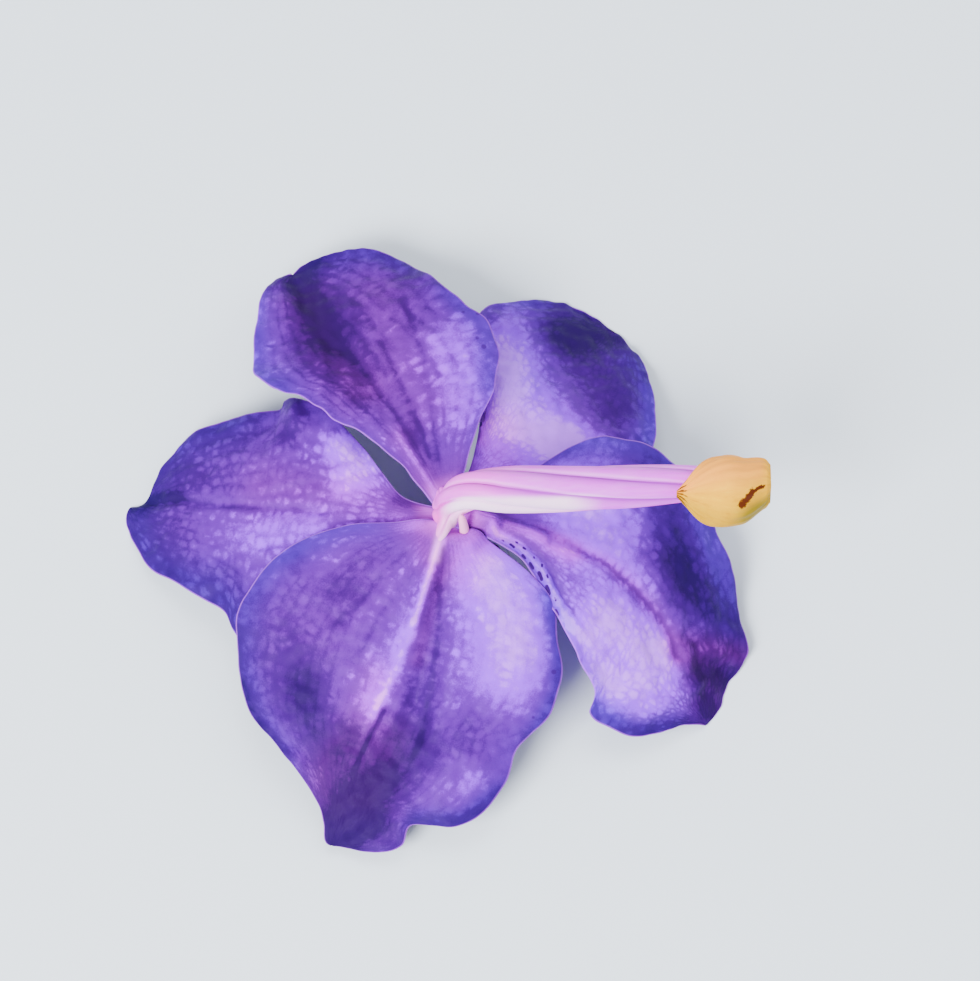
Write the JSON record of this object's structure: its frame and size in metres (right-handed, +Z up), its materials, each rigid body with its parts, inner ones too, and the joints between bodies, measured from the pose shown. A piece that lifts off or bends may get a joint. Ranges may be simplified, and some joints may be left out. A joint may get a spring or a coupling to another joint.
{
  "type": "vanda orchid flower",
  "caption": "Violet vanda orchid flower, picked with its stalk and lying face down, its back and ribbed stalk on top and its lip hanging under it.",
  "frame": {"origin": "centre of the footprint, on the surface that the flower lies on", "axes": "+Z up, out of the flower's back; +X along the stalk, from the heart to its cut end; +Y towards the dorsal sepal's side"},
  "size_m": [0.0848, 0.0832, 0.0287],
  "materials": {
    "sepals": "satin",
    "petals": "satin",
    "stalk": "satin",
    "bract": "satin",
    "lip": "satin",
    "column": "satin",
    "anther_cap": "satin",
    "pollinia": "waxy"
  },
  "bodies": {
    "root": {"dorsal_sepal": "sepals", "right_petal": "petals", "right_lateral_sepal": "sepals", "left_lateral_sepal": "sepals", "left_petal": "petals", "stalk_and_ovary": "stalk", "bract": "bract", "lip": "lip", "column": "column", "anther_cap": "anther_cap", "pollinia": "pollinia"}
  },
  "joints": []
}
